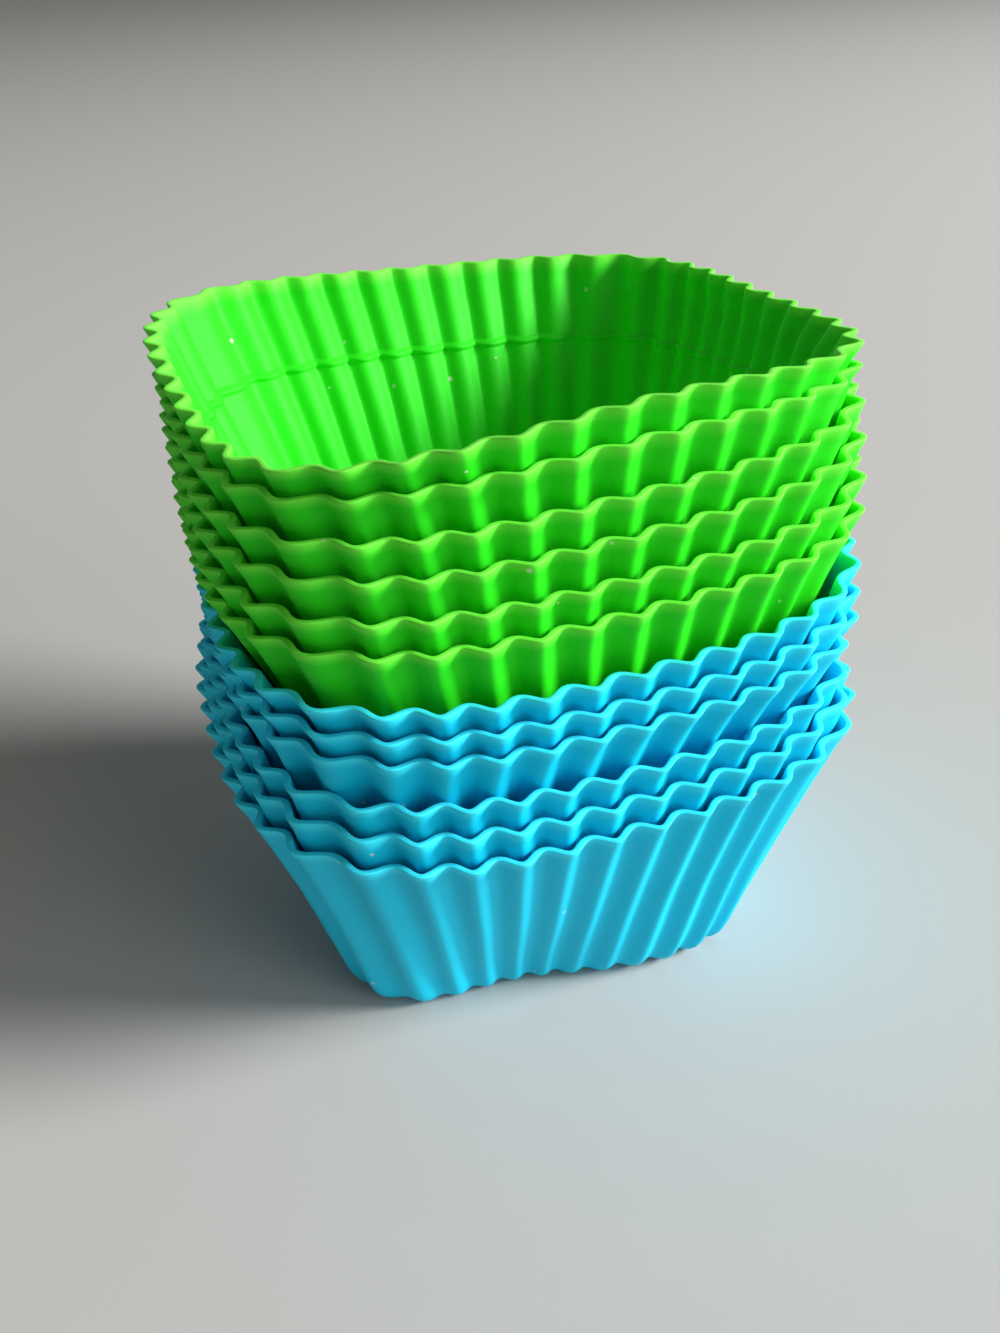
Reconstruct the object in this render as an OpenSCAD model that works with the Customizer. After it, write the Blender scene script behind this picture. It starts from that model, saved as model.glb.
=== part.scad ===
// A stack of twelve square silicone baking cups, six green ones nested on six blue ones.
// Every cup is the same moulding: a thin fluted wall that flares from a small square foot
// to a wide rounded rim. The bottom cup stands on the table and each other cup sits inside
// the one below it. Millimetres, +Z up, origin on the table under the middle of the bottom
// cup's foot, walls facing along X and Y.

/* [Cup] */
// Width of the rim from wall to wall, over the flute crests
rim_w = 70; // [66:1:76]
// Width of the foot from wall to wall, over the flute crests
foot_w = 44.5; // [42:0.5:46]
// Height of one cup
cup_h = 31; // [26:1:40]
// Thickness of the moulded wall
wall = 0.6; // [0.5:0.05:0.9]
// Thickness of the floor
floor_t = 1; // [0.8:0.1:1.6]
// Height of the slanted edge under the foot
foot_edge = 1.4; // [0.8:0.1:2]

/* [Outline] */
// Squareness of the rim, where 2 is a circle and a large value is a sharp square
rim_square = 3; // [2.6:0.1:3.2]
// Squareness of the foot
foot_square = 5; // [4:0.5:6]

/* [Flutes] */
// Flutes round one cup
flute_count = 46; // [38:4:46]
// Depth of the flutes at the rim, from crest to valley
rim_flute = 1.6; // [1.3:0.1:1.8]
// Depth of the flutes at the foot
foot_flute = 1; // [0.6:0.1:1]
// Share by which the flutes on the walls are narrower than those at the corners
corner_spread = 0.04; // [0:0.01:0.08]

/* [Stack] */
// Gap between two cups that are pushed fully together
nest_gap = 0.02; // [0.02:0.02:0.2]
// Extra room round a cup whose flutes don't line up with those below it
turn_room = 1.3; // [1.3:0.05:3]
// Direction in which the loosely nested cups have moved, from +X towards +Y
lean_angle = 40; // [0:5:90]
// Share of its sideways room that a loosely nested cup has moved by
lean_share = 0.3; // [0:0.1:0.3]
// Direction that the raised side of a loosely nested cup faces, from +X towards +Y
raised_angle = -70; // [-90:5:0]
// Degrees that a loosely nested cup is tilted by, for each millimetre of lift
tilt_rate = 0.4; // [0:0.1:0.4]

/* [Hidden] */

cups_per_colour = 6;
// Cups at the bottom of the stack that are turned by a quarter against the others, which
// puts their flutes half a flute out of line
turned_cups = 3;
// How far each cup stands above its close nest, from the second cup up to the top one
lifts = [0.3, 0.3, 0, 0, 0.1, 2.3, 0.4, 0.9, 0.6, 1.1, 0.1];

side_flutes = flute_count / 4;
points_per_flute = 4;
side_points = points_per_flute * side_flutes;
ring_points = 4 * side_points;
spread_power = 6;

// Slope of the wall at a corner, where two nested cups come closest, as run over rise
corner_run = (corner_reach(rim_w, rim_square) - corner_reach(foot_w, foot_square)) / cup_h;
// The wall's thickness, measured level
wall_level = wall * sqrt(1 + pow((rim_w - foot_w) / 2 / cup_h, 2));
// The slanted sides of the flutes meet before the crests do, so a nested cup stands higher
flank_share = 1.05 + 0.57 * foot_flute;
nest_pitch = flank_share * (wall_level + nest_gap) / corner_run;
turn_pitch = (wall_level + nest_gap + turn_room) / corner_run;

// Distance from the middle of a rounded square to its corner
function corner_reach(width, square) = width / 2 * pow(2, 0.5 - 1 / square);

// Place of a point along a wall, from one corner at -1 to the next at 1. The flutes are
// evenly spaced on the wall and open out close to the corners.
function along_wall(v) = v * (1 - corner_spread * (1 - pow(abs(v), spread_power)));

// A point of a rounded square without flutes, on the wall that faces -Y
function wall_point(width, square, v) =
    let (half = width / 2)
    let (x = half * pow(2, -1 / square) * along_wall(v))
    [x, -half * pow(1 - pow(abs(x) / half, square), 1 / square)];

// The direction that points straight out of the rounded square at one of its points
function outward(point, square) =
    let (raw = [sign(point.x) * pow(abs(point.x), square - 1),
                sign(point.y) * pow(abs(point.y), square - 1)])
    raw / norm(raw);

function turned(point, angle) =
    [point.x * cos(angle) - point.y * sin(angle), point.x * sin(angle) + point.y * cos(angle)];

// How deep the flute is at a place round the cup, counted in flutes: 0 on a crest, 1 in a valley
function flute_wave(place) = (1 - cos(360 * place)) / 2;

// A point of the fluted outline of one side, moved inwards by inset
function fluted_point(width, square, flute, inset, side, place) =
    let (point = wall_point(width, square, 2 * place / side_flutes - 1))
    let (depth = inset + flute * flute_wave(side * side_flutes + place))
    turned(point - outward(point, square) * depth, 90 * side);

// One closed ring of the cup at height z: every flute runs straight from the foot to the rim
function ring(z, inset) = [
    for (side = [0:3], i = [0:side_points - 1])
        let (place = (i + 0.5) / points_per_flute)
        let (low = fluted_point(foot_w, foot_square, foot_flute, inset, side, place))
        let (high = fluted_point(rim_w, rim_square, rim_flute, inset, side, place))
        let (point = low + (high - low) * z / cup_h)
        [point.x, point.y, z]
];

// Triangles that join ring number k to the next one
function band(k) = [
    for (i = [0:ring_points - 1])
        let (j = (i + 1) % ring_points)
        let (a = k * ring_points)
        let (b = a + ring_points)
        each [[a + i, b + i, b + j], [a + i, b + j, a + j]]
];

// The moulded cup: under the foot, up the outside, over the rim and down to the floor
module cup_shell() {
    rings = [
        ring(0, foot_edge / 2),
        ring(foot_edge, 0),
        ring(cup_h, 0),
        ring(cup_h, wall_level),
        ring(floor_t, wall_level),
    ];
    last = len(rings) - 1;
    underside = [for (i = [0:ring_points - 1]) i];
    inner_floor = [for (i = [ring_points - 1:-1:0]) last * ring_points + i];
    polyhedron(
        points = [for (r = rings) each r],
        faces = concat([underside], [for (k = [0:last - 1]) each band(k)], [inner_floor]),
        convexity = 10
    );
}

// Step from a cup to the cup above it, counting from 1 for the second cup of the stack
function stack_step(k) =
    let (lean = lean_share * lifts[k - 1] * corner_run)
    let (pitch = (k == turned_cups ? turn_pitch : nest_pitch) + lifts[k - 1])
    [lean * cos(lean_angle), lean * sin(lean_angle), pitch];

// Puts its children in the place of one cup, counting from 0 at the bottom
module in_stack(k) {
    if (k == 0)
        children();
    else
        in_stack(k - 1)
            translate(stack_step(k))
                rotate(tilt_rate * lifts[k - 1], [sin(raised_angle), -cos(raised_angle), 0])
                    children();
}

module place_cup(k) {
    in_stack(k)
        rotate(k < turned_cups ? 90 : 0)
            cup_shell();
}

module green_cup(number) {
    color("limegreen") place_cup(2 * cups_per_colour - number);
}

module blue_cup(number) {
    color("deepskyblue") place_cup(cups_per_colour - number);
}

green_cup(1);  // green_cup_1
green_cup(2);  // green_cup_2
green_cup(3);  // green_cup_3
green_cup(4);  // green_cup_4
green_cup(5);  // green_cup_5
green_cup(6);  // green_cup_6
blue_cup(1);  // blue_cup_1
blue_cup(2);  // blue_cup_2
blue_cup(3);  // blue_cup_3
blue_cup(4);  // blue_cup_4
blue_cup(5);  // blue_cup_5
blue_cup(6);  // blue_cup_6
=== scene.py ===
# %% [markdown]
# # A stack of twelve silicone baking cups
#
# Six lime green cups are nested on six turquoise ones. The stack's sizes and places come
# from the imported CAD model, which this script loads first as a fixed frame. Each cup is
# then made again as a finer surface with softly waving flutes, a rounded foot and a thin
# rim, bent a little as soft cups are, and it stands in for the CAD cup of the same name.

import math

import bpy
import numpy as np
from mathutils import Matrix


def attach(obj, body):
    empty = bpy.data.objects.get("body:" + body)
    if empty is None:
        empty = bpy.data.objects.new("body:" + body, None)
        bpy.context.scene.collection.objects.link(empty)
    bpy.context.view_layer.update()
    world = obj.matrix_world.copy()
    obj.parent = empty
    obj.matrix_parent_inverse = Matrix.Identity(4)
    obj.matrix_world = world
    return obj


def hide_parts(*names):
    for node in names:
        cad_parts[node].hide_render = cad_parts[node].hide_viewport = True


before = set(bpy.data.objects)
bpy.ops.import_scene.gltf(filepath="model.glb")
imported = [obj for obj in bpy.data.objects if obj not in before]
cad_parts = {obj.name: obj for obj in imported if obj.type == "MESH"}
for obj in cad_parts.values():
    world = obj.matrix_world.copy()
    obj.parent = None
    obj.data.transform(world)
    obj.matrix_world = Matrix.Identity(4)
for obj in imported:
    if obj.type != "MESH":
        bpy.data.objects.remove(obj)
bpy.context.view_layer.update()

# %% [markdown]
# ## One cup
#
# Every cup is the same moulding, so its sizes are named once, in millimetres. They are the
# CAD model's sizes. The outline is a rounded square whose flutes run straight from the
# small foot to the wide rim.

# %% Sizes of one cup, in millimetres
MM = 0.001
RIM_WIDTH = 70
FOOT_WIDTH = 44.5
CUP_HEIGHT = 31
WALL = 0.6
FLOOR_THICKNESS = 1

RIM_SQUARE = 3
FOOT_SQUARE = 5
FLUTE_COUNT = 46
RIM_FLUTE = 1.6
FOOT_FLUTE = 1
CORNER_SPREAD = 0.04
SPREAD_POWER = 6

SIDE_FLUTES = FLUTE_COUNT / 4
WALL_LEVEL = WALL * math.hypot(1, (RIM_WIDTH - FOOT_WIDTH) / 2 / CUP_HEIGHT)
print("Flutes round one cup:", FLUTE_COUNT, "- wall measured level:", round(WALL_LEVEL, 3))

# %% [markdown]
# The outline could be a drawn curve, but a formula gives each height its own outline, and
# it works on whole arrays. `place` counts flutes along one side, and the wave of the flutes
# is taken off the rounded square straight inwards, so that a whole number, counted round
# the cup, is a crest and a half is a valley. The moulded flutes are softer than the CAD
# model's: `flute_strength` is the share of their wave that stays. Each side has eleven and
# a half flutes, so a cup that is turned by a quarter has its flutes out of line.

# %% The fluted outline
POINTS_PER_FLUTE = 16
STRENGTH_HEIGHTS = [24, CUP_HEIGHT]
STRENGTHS = [0.78, 0.9]


def along_wall(v):
    """Place along a wall from one corner at -1 to the next at 1.

    It is v * (1 - spread * (1 - |v|^6)), so the flutes open out close to the corners.
    """
    return v * (1 - CORNER_SPREAD * (1 - np.abs(v) ** SPREAD_POWER))


def rounded_square(width, square, v):
    """Points of |x|^n + |y|^n = (width / 2)^n on the wall that faces -Y, with n = square."""
    half = width / 2
    x = half * 2 ** (-1 / square) * along_wall(v)
    y = -half * (1 - (np.abs(x) / half) ** square) ** (1 / square)
    return np.stack([x, y], axis=-1)


def straight_out(points, square):
    """Unit vectors square to the rounded square at its points, along (x^(n-1), y^(n-1))."""
    raw = np.sign(points) * np.abs(points) ** (square - 1)
    return raw / np.linalg.norm(raw, axis=-1, keepdims=True)


def flute_strength(z):
    """How strongly a flute stands out at height z. The open rim keeps more of it."""
    return np.interp(z, STRENGTH_HEIGHTS, STRENGTHS)


def fluted_side(width, square, flute, side, place, inset, strength):
    """The fluted outline of one of the four sides, moved inwards by inset.

    The flute takes off flute * (1 - strength * cos(2 pi place)) / 2, the least on a crest.
    """
    points = rounded_square(width, square, 2 * place / SIDE_FLUTES - 1)
    wave = (1 - strength * np.cos(2 * np.pi * (side * SIDE_FLUTES + place))) / 2
    level = points - straight_out(points, square) * (inset + flute * wave)[..., None]
    x, y = level[..., 0], level[..., 1]
    turned = ((x, y), (-y, x), (-x, -y), (y, -x))[side]
    return np.stack(turned, axis=-1)


def set_back(rings, depths):
    """Closed rings moved inwards, square to their own flutes, by one depth for each ring."""
    along = np.roll(rings, -1, axis=1) - np.roll(rings, 1, axis=1)
    outward = np.stack([along[..., 1], -along[..., 0]], axis=-1)
    outward = outward / np.linalg.norm(outward, axis=-1, keepdims=True)
    return rings - outward * depths[:, None, None]


def cup_rings(heights, depths, insets):
    """Array (ring, point, xyz) of the closed rings of a cup at these heights.

    Each point lies on the straight line from its place on the foot to its place on the rim.
    Insets are taken off the rounded square and depths off the fluted outline.
    """
    place = np.arange(int(POINTS_PER_FLUTE * SIDE_FLUTES)) / POINTS_PER_FLUTE
    inset = insets[:, None] + 0 * place
    share = heights[:, None, None] / CUP_HEIGHT
    strength = flute_strength(heights)[:, None]
    sides = []
    for side in range(4):
        low = fluted_side(FOOT_WIDTH, FOOT_SQUARE, FOOT_FLUTE, side, place, inset, strength)
        high = fluted_side(RIM_WIDTH, RIM_SQUARE, RIM_FLUTE, side, place, inset, strength)
        sides.append(low + (high - low) * share)
    level = set_back(np.concatenate(sides, axis=1), depths)
    z = np.broadcast_to(heights[:, None, None], level.shape[:2] + (1,))
    return np.concatenate([level, z], axis=-1)


print("Array of a trial ring:", cup_rings(*np.zeros((3, 1))).shape)

# %% [markdown]
# The wall's section is a line of (height, depth, inset) points: under the foot, round its
# edge, up the outside, over the thin rim and down the inside to the floor. Depth is how far
# a point lies inside the fluted outer face, measured square to it, as a wall of even
# thickness does. That turns the inside of each crest into a narrow groove between broad
# rounded ribs. A Solidify modifier could thicken the wall too, but a section also shapes
# the rim, which swells a little and has rounded edges, and the foot. `SKIN` is a little
# thinner than the CAD wall, so that nested cups stay clear of each other. In the top cup a
# thin bead runs round the inside, about a third of the way down.

# %% The section of the wall
SKIN = 0.46
FOOT_EDGE_HEIGHT = 2.6
FOOT_EDGE_INSET = 1.5
RIM_SWELL_HEIGHT = 2.4
RIM_SWELL_OUT = 0.22
RIM_ROUNDING = 0.16
FLOOR_FILLET = 1.2
BEAD_HEIGHT = 22
BEAD_HALF = 0.55
BEAD_PROUD = 0.34

FOOT_EDGE_STEPS = 7
RIM_STEPS = 4
FILLET_STEPS = 6
BEAD_STEPS = 19
BEAD_REACH = 1.5
BELOW_RIM = np.array([0.4, 0.8, 1.4, 2])
OUTER_HEIGHTS = np.linspace(4, 28, 7)
ABOVE_BEAD = np.linspace(27, 24, 3)
BELOW_BEAD = np.linspace(20, 4, 5)


def smooth_step(t):
    """0 below 0, 1 above 1 and 3t^2 - 2t^3 in between."""
    t = np.clip(t, 0, 1)
    return t * t * (3 - 2 * t)


def swell(z):
    """Share of the rim's swelling at height z."""
    return smooth_step((z - CUP_HEIGHT + RIM_SWELL_HEIGHT) / RIM_SWELL_HEIGHT)


def foot_edge_section(steps):
    """Quarter of an ellipse from the underside out to the outer face."""
    angle = np.linspace(0, np.pi / 2, steps)
    height = FOOT_EDGE_HEIGHT * (1 - np.cos(angle))
    inset = FOOT_EDGE_INSET * (1 - np.sin(angle))
    return np.stack([height, 0 * height, inset], axis=1)


def rim_section(steps):
    """The two rounded edges of the rim and the flat top between them."""
    angle = np.linspace(0, np.pi / 2, steps)
    across = RIM_ROUNDING * (1 - np.cos(angle))
    height = CUP_HEIGHT - RIM_ROUNDING * (1 - np.sin(angle))
    outer = np.stack([height, across - RIM_SWELL_OUT, 0 * height], axis=1)
    inner = np.stack([height, SKIN - across, 0 * height], axis=1)
    return np.concatenate([outer, inner[::-1]])


def wall_section(heights, depth, swell_by):
    """A face of the wall at these heights, moved by swell_by where the rim swells."""
    return np.stack([heights, depth + swell_by * swell(heights), 0 * heights], axis=1)


def bead_heights(with_bead):
    """Heights across the bead, from its top to its bottom, or none."""
    if not with_bead:
        return np.zeros(0)
    return BEAD_HEIGHT + BEAD_HALF * np.linspace(BEAD_REACH, -BEAD_REACH, BEAD_STEPS)


def inner_section(with_bead):
    """The inner face from below the rim down to the floor, with the bead if asked for.

    The bead stands proud by BEAD_PROUD * (1 - t^2)^2, where t runs from -1 to 1 across it.
    """
    near_rim = CUP_HEIGHT - np.append(BELOW_RIM, RIM_SWELL_HEIGHT)
    heights = np.concatenate([near_rim, ABOVE_BEAD, bead_heights(with_bead), BELOW_BEAD])
    section = wall_section(heights, SKIN, 0)
    if with_bead:
        t = np.clip((heights - BEAD_HEIGHT) / BEAD_HALF, -1, 1)
        section[:, 1] += BEAD_PROUD * (1 - t * t) ** 2
    angle = np.linspace(0, np.pi / 2, FILLET_STEPS)
    height = FLOOR_THICKNESS + FLOOR_FILLET * (1 - np.sin(angle))
    inset = FLOOR_FILLET * (1 - np.cos(angle))
    return np.concatenate([section, np.stack([height, SKIN + 0 * height, inset], axis=1)])


def cup_section(with_bead):
    """The whole section, from the edge of the underside to the edge of the floor."""
    foot_edge = foot_edge_section(FOOT_EDGE_STEPS)
    outer_heights = np.concatenate([OUTER_HEIGHTS, CUP_HEIGHT - BELOW_RIM[::-1]])
    outer = wall_section(outer_heights, 0, -RIM_SWELL_OUT)
    rim = rim_section(RIM_STEPS)
    return np.concatenate([foot_edge, outer, rim, inner_section(with_bead)])


print("Rings of a plain cup:", len(cup_section(with_bead=False)))
print("Rings of the top cup:", len(cup_section(with_bead=True)))

# %% [markdown]
# ## The stack
#
# The places of the cups follow the CAD model's rule, so that each fine cup lies on the CAD
# cup that it replaces. Each cup stands one nesting height above the cup below it, plus the
# lift of a cup that isn't pushed fully home, which also leans and tilts it a little. The
# three lowest cups are turned by a quarter. Nested cups touch first on the slanted sides of
# their flutes, so `FLANK_SHARE` raises the nesting height above what the corners give.

# %% Places in the stack
NEST_GAP = 0.02
TURN_ROOM = 1.3
LEAN_ANGLE = math.radians(40)
LEAN_SHARE = 0.3
RAISED_ANGLE = math.radians(-70)
TILT_RATE = math.radians(0.4)
CUPS_PER_COLOUR = 6
TURNED_CUPS = 3
LIFTS = [0.3, 0.3, 0, 0, 0.1, 2.3, 0.4, 0.9, 0.6, 1.1, 0.1]


def corner_reach(width, square):
    """Distance from the middle of a rounded square to its corner."""
    return width / 2 * 2 ** (0.5 - 1 / square)


RIM_REACH = corner_reach(RIM_WIDTH, RIM_SQUARE)
FOOT_REACH = corner_reach(FOOT_WIDTH, FOOT_SQUARE)
CORNER_RUN = (RIM_REACH - FOOT_REACH) / CUP_HEIGHT
FLANK_SHARE = 1.05 + 0.57 * FOOT_FLUTE
NEST_PITCH = FLANK_SHARE * (WALL_LEVEL + NEST_GAP) / CORNER_RUN
TURN_PITCH = (WALL_LEVEL + NEST_GAP + TURN_ROOM) / CORNER_RUN


def stack_step(k):
    """Matrix from the place of cup k - 1 to that of cup k, counted from 0 at the bottom."""
    lift = LIFTS[k - 1]
    lean = LEAN_SHARE * lift * CORNER_RUN
    pitch = (TURN_PITCH if k == TURNED_CUPS else NEST_PITCH) + lift
    move = Matrix.Translation((lean * math.cos(LEAN_ANGLE), lean * math.sin(LEAN_ANGLE), pitch))
    axis = (math.sin(RAISED_ANGLE), -math.cos(RAISED_ANGLE), 0)
    return move @ Matrix.Rotation(TILT_RATE * lift, 4, axis)


def cup_place(k):
    """Matrix that puts a cup, made upright at the origin, in its place in the stack."""
    place = Matrix.Identity(4)
    for step in range(1, k + 1):
        place = place @ stack_step(step)
    return place


def quarter_turned(points):
    """Points turned by a quarter about Z, from +X to +Y."""
    return points[:, [1, 0, 2]] * (-1, 1, 1)


top_foot = cup_place(len(LIFTS)).translation
print("The top cup's foot stands at", [round(v, 2) for v in top_foot], "mm")

# %% [markdown]
# Soft cups are never quite square. Nested cups bend together, because each fills the one
# around it, so the bends are one smooth movement of the whole stack that changes with
# height, and no cup is pushed through another. A Lattice modifier could bend the stack as
# well, but a formula on the vertices says in millimetres how far the walls move. The cups
# are moved sideways, spread, widened along X, pulled askew, pinched at the corners and
# raised in places. The open rim of the top cup is bent most. At the front, the foot sags
# outwards under the load and has slipped back a little.

# %% Bends of the soft stack
# Height: shift x, shift y, spread, wide, askew, pinch, raise x, raise y, saddle, twist, wave
BENDS = {
    0: (0, 0, 0, 0, 0, 0, 0, 0, 0, 0, 0),
    31: (0, -0.6, 0.7, 0.1, 0, 0, -0.2, -0.4, 0.6, -0.8, 0),
    36: (-0.1, -0.4, 0, -0.6, 0, 0, -0.1, -0.4, 0.5, -0.5, 0),
    43: (0.9, -1, 0, -0.6, 0.5, 0, 0.2, -0.2, 0, -0.1, 0),
    48: (0.6, -0.9, 0, -0.5, 0.5, 0, 0.4, -0.1, 0.2, -0.3, 0),
    55: (0.5, -0.8, 0, -0.1, 0.2, 0, 0.3, 0.1, 0.1, -0.6, 0),
    63: (0.4, -0.2, 0, -0.5, 0, 0, 0.2, 0.4, 0, -0.9, 0),
    67: (0.3, 0.3, 0, -0.8, 0, 0, 0, 0.5, 0, -1.1, 0.2),
    71: (0.3, 0.8, 0, -1.3, 0, -0.8, -0.3, 1.1, -0.6, -1.1, 0.9),
}
FOOT_SLIP = 2.1
FOOT_SAG = 1.6
FOOT_SKEW = 1.7
FOOT_HEIGHTS = [0, 5, 15, CUP_HEIGHT]
FOOT_FADE = [1, 1.05, 0.45, 0]


def bent(points):
    """Points of the placed stack moved by its bends at their height.

    With a the direction of a point as seen from above and r its distance from the middle as
    a share of the wall's, it moves outwards by r (spread + wide cos 2a + askew sin 2a
    + pinch sin 4a) and up by r (raise_x cos a + raise_y sin a + saddle cos 2a + twist sin 2a
    + wave sin 3a), besides the shift. Low down the front also slips back by the slip and
    outwards by r (sag + skew sin 4a), both times (1 - r sin a) / 2 and a fade with height.
    """
    x, y, z = points.T
    columns = np.array(list(BENDS.values())).T
    moves = [np.interp(z, list(BENDS), column) for column in columns]
    shift_x, shift_y, spread, wide, askew, pinch, raise_x, raise_y, saddle, twist, wave = moves
    a = np.arctan2(y, x)
    wall_reach = (FOOT_WIDTH + (RIM_WIDTH - FOOT_WIDTH) * np.clip(z / CUP_HEIGHT, 0, 1)) / 2
    share = np.hypot(x, y) / wall_reach
    out = share * (spread + wide * np.cos(2 * a) + askew * np.sin(2 * a) + pinch * np.sin(4 * a))
    slant = raise_x * np.cos(a) + raise_y * np.sin(a) + wave * np.sin(3 * a)
    up = share * (slant + saddle * np.cos(2 * a) + twist * np.sin(2 * a))
    front = np.interp(z, FOOT_HEIGHTS, FOOT_FADE) * (1 - share * np.sin(a)) / 2
    out = out + front * share * (FOOT_SAG + FOOT_SKEW * np.sin(4 * a))
    back = shift_y + front * FOOT_SLIP
    return points + np.stack([shift_x + out * np.cos(a), back + out * np.sin(a), up], axis=1)


print("Heights with bends, in mm:", list(BENDS))

# %% [markdown]
# The mesh of a cup joins its rings with quads and closes the underside and the floor with
# fans of triangles round a middle point. Each cup is a mesh of its own, and not a copy of
# the first, because each is bent differently. The vertices are stored in the stack's frame,
# in metres, so each object stays at the origin. The attribute `edge` is 1 on the rim and
# fades out below it. The materials use it to paint light on the thin rim: a paler
# colour that stands in for light shining through and onto it.

# %% Making the mesh of a cup
EDGE_FADE = 1.3
TOP_CUP = "green_cup_1"


def joined_rings(ring_count, ring_points):
    """Faces of a closed skin over rings of points, with a middle point at each end.

    The middle points come after the rings' points, first the start's and then the end's.
    """
    i = np.arange(ring_points)
    j = (i + 1) % ring_points
    start = (np.arange(ring_count - 1) * ring_points)[:, None]
    corners = [start + i, start + j, start + ring_points + j, start + ring_points + i]
    quads = np.stack(corners, axis=-1).reshape(-1, 4)
    last = (ring_count - 1) * ring_points
    middle = ring_count * ring_points
    start_fan = np.stack([0 * i + middle, j, i], axis=-1)
    end_fan = np.stack([0 * i + middle + 1, last + i, last + j], axis=-1)
    return quads.tolist() + start_fan.tolist() + end_fan.tolist()


def make_cup(node, k):
    """Makes cup k of the stack, counted from 0 at the bottom, as an object at the origin."""
    section = cup_section(with_bead=node == TOP_CUP)
    rings = cup_rings(*section.T)
    middles = np.array([[0, 0, 0], [0, 0, FLOOR_THICKNESS]])
    points = np.concatenate([rings.reshape(-1, 3), middles])
    # Painted rim light: this mask is 1 on the rim and fades out below it. The materials paint a
    # paler colour there for the light on the thin rim.
    edge = np.clip(1 - (CUP_HEIGHT - points[:, 2]) / EDGE_FADE, 0, 1)
    lined_up = quarter_turned(points) if k < TURNED_CUPS else points
    place = np.array(cup_place(k))
    placed = bent(lined_up @ place[:3, :3].T + place[:3, 3]) * MM
    mesh = bpy.data.meshes.new(f"silicone_{node}")
    mesh.from_pydata(placed, [], joined_rings(rings.shape[0], rings.shape[1]))
    mesh.attributes.new("edge", "FLOAT", "POINT").data.foreach_set("value", edge)
    mesh.shade_smooth()
    cup = bpy.data.objects.new(f"silicone_{node}", mesh)
    bpy.context.collection.objects.link(cup)
    return cup


cups = {}
for k in range(2 * CUPS_PER_COLOUR):
    colour = "blue" if k < CUPS_PER_COLOUR else "green"
    number = CUPS_PER_COLOUR - k % CUPS_PER_COLOUR
    node = f"{colour}_cup_{number}"
    cups[node] = make_cup(node, k)
    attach(cups[node], "root")
    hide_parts(node)
print("Cups:", len(cups), "- faces of the top cup:", len(cups[TOP_CUP].data.polygons))

# %% [markdown]
# ## The silicone
#
# `Term` wraps one output of a node tree, so that shader maths is written as ordinary sums.
# Its `node` method adds any other kind of node.

# %% Shader maths


class Term:
    """A value in a node tree that can be added, multiplied and compared like a number."""

    def __init__(self, tree, socket):
        self.tree = tree
        self.socket = socket

    def node(self, kind, inputs, output=0, **settings):
        """Adds a node, sets it up, feeds its inputs and returns one of its outputs."""
        made = self.tree.nodes.new(kind)
        for name, value in settings.items():
            setattr(made, name, value)
        for key, value in inputs.items():
            if isinstance(value, Term):
                self.tree.links.new(value.socket, made.inputs[key])
            else:
                made.inputs[key].default_value = value
        return Term(self.tree, made.outputs[output])

    def math(self, operation, first, second=0.0):
        """A Math node's result for two terms or numbers."""
        return self.node("ShaderNodeMath", {0: first, 1: second}, operation=operation)

    def __add__(self, other):
        return self.math("ADD", self, other)

    def __radd__(self, other):
        return self.math("ADD", other, self)

    def __sub__(self, other):
        return self.math("SUBTRACT", self, other)

    def __rsub__(self, other):
        return self.math("SUBTRACT", other, self)

    def __mul__(self, other):
        return self.math("MULTIPLY", self, other)

    def __rmul__(self, other):
        return self.math("MULTIPLY", other, self)

    def __gt__(self, other):
        return self.math("GREATER_THAN", self, other)

    def __lt__(self, other):
        return self.math("LESS_THAN", self, other)


# %% [markdown]
# Silicone is satin and slightly see-through, so some light spreads under its surface. The
# thin rim gets painted rim light: a paler colour that stands in for light shining through
# and onto it. The colour also varies softly, the surface has a very fine grain, and a few
# pale specks of dust cling to it. These come from noise and cell patterns in the stack's
# own space, so no picture is wrapped round the cups.

# %% Values of the silicone
# LIME and TURQUOISE are the silicone's own colours. The two rim colours and the share under them
# are painted rim light: paler colours standing in for light that shines through and onto the
# thin rim.
LIME = (0.02, 0.68, 0.008, 1)
LIME_RIM_LIT = (0.24, 0.88, 0.08, 1)
TURQUOISE = (0, 0.56, 0.8, 1)
TURQUOISE_RIM_LIT = (0.06, 0.86, 0.98, 1)
PAINTED_RIM_LIGHT = 0.6

CLOUD_SCALE = 45
CLOUD_DETAIL = 4.0
CLOUD_SHADES = (0.88, 1.1)
GRAIN_SCALE = 1500
GRAIN_DETAIL = 2.0
GRAIN_STRENGTH = 0.15
GRAIN_HEIGHT = 0.0001

DUST_SCALE = 260
DUST_SIZE = 0.08
CLEAN_SHARE = 0.5
DUST_COVER = 0.7
DUST_COLOUR = (0.6, 0.68, 0.52, 1)

ROUGHNESS = 0.55
CLOUD_ROUGHNESS = 0.14
DUST_ROUGHNESS = 0.2
SILICONE_IOR = 1.41
SPECULAR_LEVEL = 0.35
SUBSURFACE = 0.12
SUBSURFACE_DEPTH = 0.0012
print("Light spreads by about", round(SUBSURFACE_DEPTH / MM, 2), "mm under the surface")

# %% The silicone material


def scaled(colour, factor):
    """A colour with its three channels multiplied by a factor."""
    return (*(channel * factor for channel in colour[:3]), 1)


def mixed(factor, first, second):
    """The colour between two colours or terms at this factor."""
    inputs = {0: factor, 6: first, 7: second}
    return factor.node("ShaderNodeMix", inputs, 2, data_type="RGBA")


def noise(place, scale, detail):
    """Soft noise between 0 and 1 at a place."""
    inputs = {"Vector": place, "Scale": scale, "Detail": detail}
    return place.node("ShaderNodeTexNoise", inputs)


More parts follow.
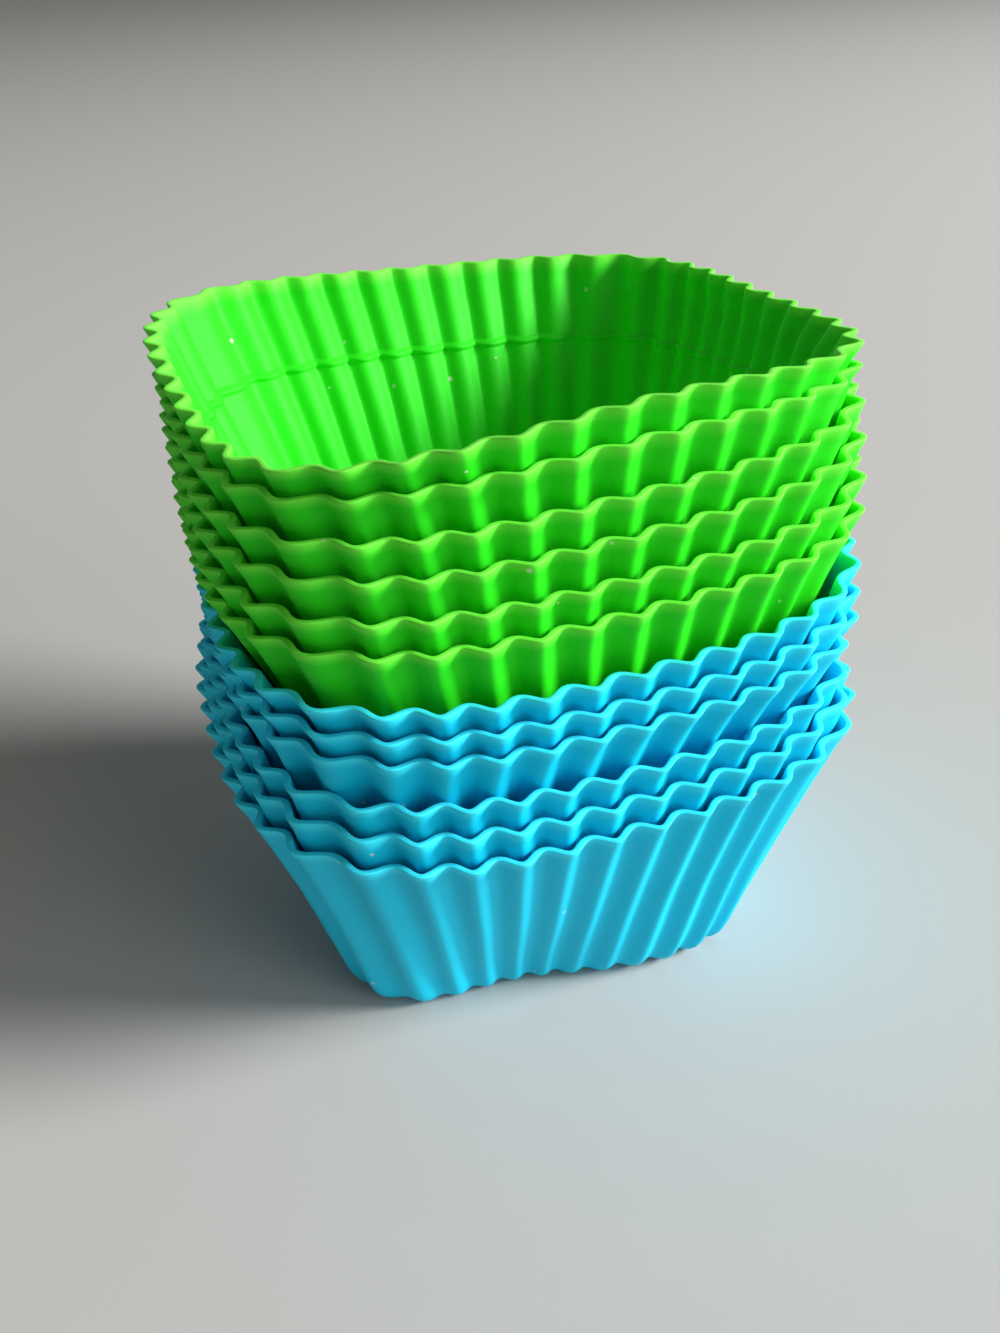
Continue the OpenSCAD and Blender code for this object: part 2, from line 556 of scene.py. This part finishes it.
def dust_specks(place):
    """1 on a speck of dust and 0 elsewhere. A lot drawn for each cell sets its speck's size."""
    cells = {"Vector": place, "Scale": DUST_SCALE}
    distance = place.node("ShaderNodeTexVoronoi", cells, "Distance")
    cell_colour = place.node("ShaderNodeTexVoronoi", cells, "Color")
    lot = place.node("ShaderNodeSeparateColor", {"Color": cell_colour}, "Red")
    return (distance < lot * DUST_SIZE) * (lot > CLEAN_SHARE)


def silicone(name, colour, rim_lit_colour):
    """A satin silicone of this colour, with painted rim light, fine grain and dust."""
    material = bpy.data.materials.new(name)
    material.use_nodes = True
    tree = material.node_tree
    place = Term(tree, tree.nodes.new("ShaderNodeTexCoord").outputs["Object"])
    edge = place.node("ShaderNodeAttribute", {}, "Fac", attribute_name="edge")
    clouds = noise(place, CLOUD_SCALE, CLOUD_DETAIL)
    grain = noise(place, GRAIN_SCALE, GRAIN_DETAIL)
    dust = dust_specks(place)
    body = mixed(clouds, *(scaled(colour, shade) for shade in CLOUD_SHADES))
    # Painted rim light: a paler colour mixed in along the rim, for light shining through and
    # onto it.
    with_rim_light = mixed(edge * PAINTED_RIM_LIGHT, body, rim_lit_colour)
    dusty = mixed(dust * DUST_COVER, with_rim_light, DUST_COLOUR)
    relief = {"Height": grain, "Strength": GRAIN_STRENGTH, "Distance": GRAIN_HEIGHT}
    bump = place.node("ShaderNodeBump", relief, "Normal")
    roughness = ROUGHNESS + clouds * CLOUD_ROUGHNESS + dust * DUST_ROUGHNESS
    shader = tree.nodes["Principled BSDF"]
    for key, term in (("Base Color", dusty), ("Roughness", roughness), ("Normal", bump)):
        tree.links.new(term.socket, shader.inputs[key])
    shader.inputs["IOR"].default_value = SILICONE_IOR
    shader.inputs["Specular IOR Level"].default_value = SPECULAR_LEVEL
    shader.inputs["Subsurface Weight"].default_value = SUBSURFACE
    shader.inputs["Subsurface Radius"].default_value = (1, 1, 1)
    shader.inputs["Subsurface Scale"].default_value = SUBSURFACE_DEPTH
    return material


skins = {
    "green": silicone("lime_silicone", LIME, LIME_RIM_LIT),
    "blue": silicone("turquoise_silicone", TURQUOISE, TURQUOISE_RIM_LIT),
}
for node, cup in cups.items():
    cup.data.materials.append(skins[node.split("_")[0]])
print("Materials:", [skin.name for skin in skins.values()])

# %% [markdown]
# ## The studio
#
# The stack stands on a plain pale floor, which only catches its shadow. One matt square is
# enough for that, and it is so wide that the camera doesn't see its edge.

# %% The floor
FLOOR_HALF = 12
FLOOR_COLOUR = (0.5, 0.49, 0.47, 1)
FLOOR_ROUGHNESS = 0.7


def plain_material(name, colour, roughness):
    """A matt material of one colour."""
    material = bpy.data.materials.new(name)
    material.use_nodes = True
    shader = material.node_tree.nodes["Principled BSDF"]
    shader.inputs["Base Color"].default_value = colour
    shader.inputs["Roughness"].default_value = roughness
    return material


unit_square = ((-1, -1), (1, -1), (1, 1), (-1, 1))
corners = [(x * FLOOR_HALF, y * FLOOR_HALF, 0) for x, y in unit_square]
floor_mesh = bpy.data.meshes.new("studio_floor")
floor_mesh.from_pydata(corners, [], [(0, 1, 2, 3)])
floor = bpy.data.objects.new("studio_floor", floor_mesh)
bpy.context.collection.objects.link(floor)
floor_mesh.materials.append(plain_material("pale_floor", FLOOR_COLOUR, FLOOR_ROUGHNESS))
print("The floor is", 2 * FLOOR_HALF, "m wide")

# %% [markdown]
# A large soft lamp lights the stack from the right, a little towards the camera, as in the
# photograph. A weaker and lower one at the front right brightens the walls that face the
# camera. Area lamps are chosen because their size sets how soft the shadows are. The world
# shows pale to the camera and to glossy and see-through surfaces, and lights the object
# more weakly than that. The mask `shown` is 1 for those and 0 for all other light.

# %% The light
KEY_POWER = 118
FILL_POWER = 20
LAMP_DISTANCE = 2.5
AIM_HEIGHT = 0.04
WORLD_COLOUR = (1, 0.99, 0.97, 1)
WORLD_LIGHT = 0.12
WORLD_SHOWN = 0.6


def soft_lamp(name, power, size, direction, elevation):
    """An area lamp that faces the stack, placed by two angles in degrees.

    Its direction is counted from +X towards +Y, and its elevation from the level upwards.
    """
    lamp = bpy.data.lights.new(name, "AREA")
    lamp.shape = "DISK"
    lamp.energy = power
    lamp.size = size
    turn = math.radians(direction)
    rise = math.radians(elevation)
    aim = Matrix.Rotation(turn + math.pi / 2, 4, "Z")
    aim = aim @ Matrix.Rotation(math.radians(90 - elevation), 4, "X")
    level = LAMP_DISTANCE * math.cos(rise)
    height = LAMP_DISTANCE * math.sin(rise) + AIM_HEIGHT
    place = Matrix.Translation((level * math.cos(turn), level * math.sin(turn), height))
    lit = bpy.data.objects.new(name, lamp)
    lit.matrix_world = place @ aim
    bpy.context.collection.objects.link(lit)


soft_lamp("key_light", KEY_POWER, size=1, direction=-26, elevation=27)
soft_lamp("fill_light", FILL_POWER, size=1.5, direction=-58, elevation=18)

world = bpy.data.worlds.new("pale_world")
bpy.context.scene.world = world
world.use_nodes = True
tree = world.node_tree
background = tree.nodes["Background"]
background.inputs["Color"].default_value = WORLD_COLOUR
paths = tree.nodes.new("ShaderNodeLightPath")
seen = Term(tree, paths.outputs["Is Camera Ray"])
glossy = Term(tree, paths.outputs["Is Glossy Ray"])
through = Term(tree, paths.outputs["Is Transmission Ray"])
shown = seen.math("MAXIMUM", seen, glossy.math("MAXIMUM", glossy, through))
strength = WORLD_LIGHT * (1 - shown) + WORLD_SHOWN * shown
tree.links.new(strength.socket, background.inputs["Strength"])
print("Lamps:", [lamp.name for lamp in bpy.data.lights], "- world:", world.name)

# %% [markdown]
# ## The camera
#
# The camera stands about where the photograph was taken from, a little to the left of the
# front and looking down. Its place, angles and focal length were fitted to the crests of
# the rims, and not set by eye, so that the rows of cups line up with the photograph. The
# place is in millimetres in the stack's frame, and the focal length in pixels of the
# photograph's 1000 by 1333 frame.

# %% The camera
PHOTO_HEIGHT = 1333
SENSOR_HEIGHT = 36
FOCAL_PIXELS = 1285.1
CAMERA_PLACE = (-39.6, -126.87, 106.48)
CAMERA_AZIMUTH = math.radians(16.93)
CAMERA_DOWN = math.radians(29.71)
CAMERA_ROLL = math.radians(-3.28)
CLIP_START = 0.01

view = bpy.data.cameras.new("photo_camera")
view.sensor_fit = "VERTICAL"
view.sensor_height = SENSOR_HEIGHT
view.lens = FOCAL_PIXELS / PHOTO_HEIGHT * SENSOR_HEIGHT
view.clip_start = CLIP_START
camera = bpy.data.objects.new("photo_camera", view)
place = Matrix.Translation([v * MM for v in CAMERA_PLACE])
turn = Matrix.Rotation(-CAMERA_AZIMUTH, 4, "Z")
look_down = Matrix.Rotation(math.pi / 2 - CAMERA_DOWN, 4, "X")
roll = Matrix.Rotation(CAMERA_ROLL, 4, "Z")
camera.matrix_world = place @ turn @ look_down @ roll
bpy.context.collection.objects.link(camera)
bpy.context.scene.camera = camera
bpy.context.scene.view_settings.view_transform = "Standard"
print("Lens:", round(view.lens, 2), "mm")
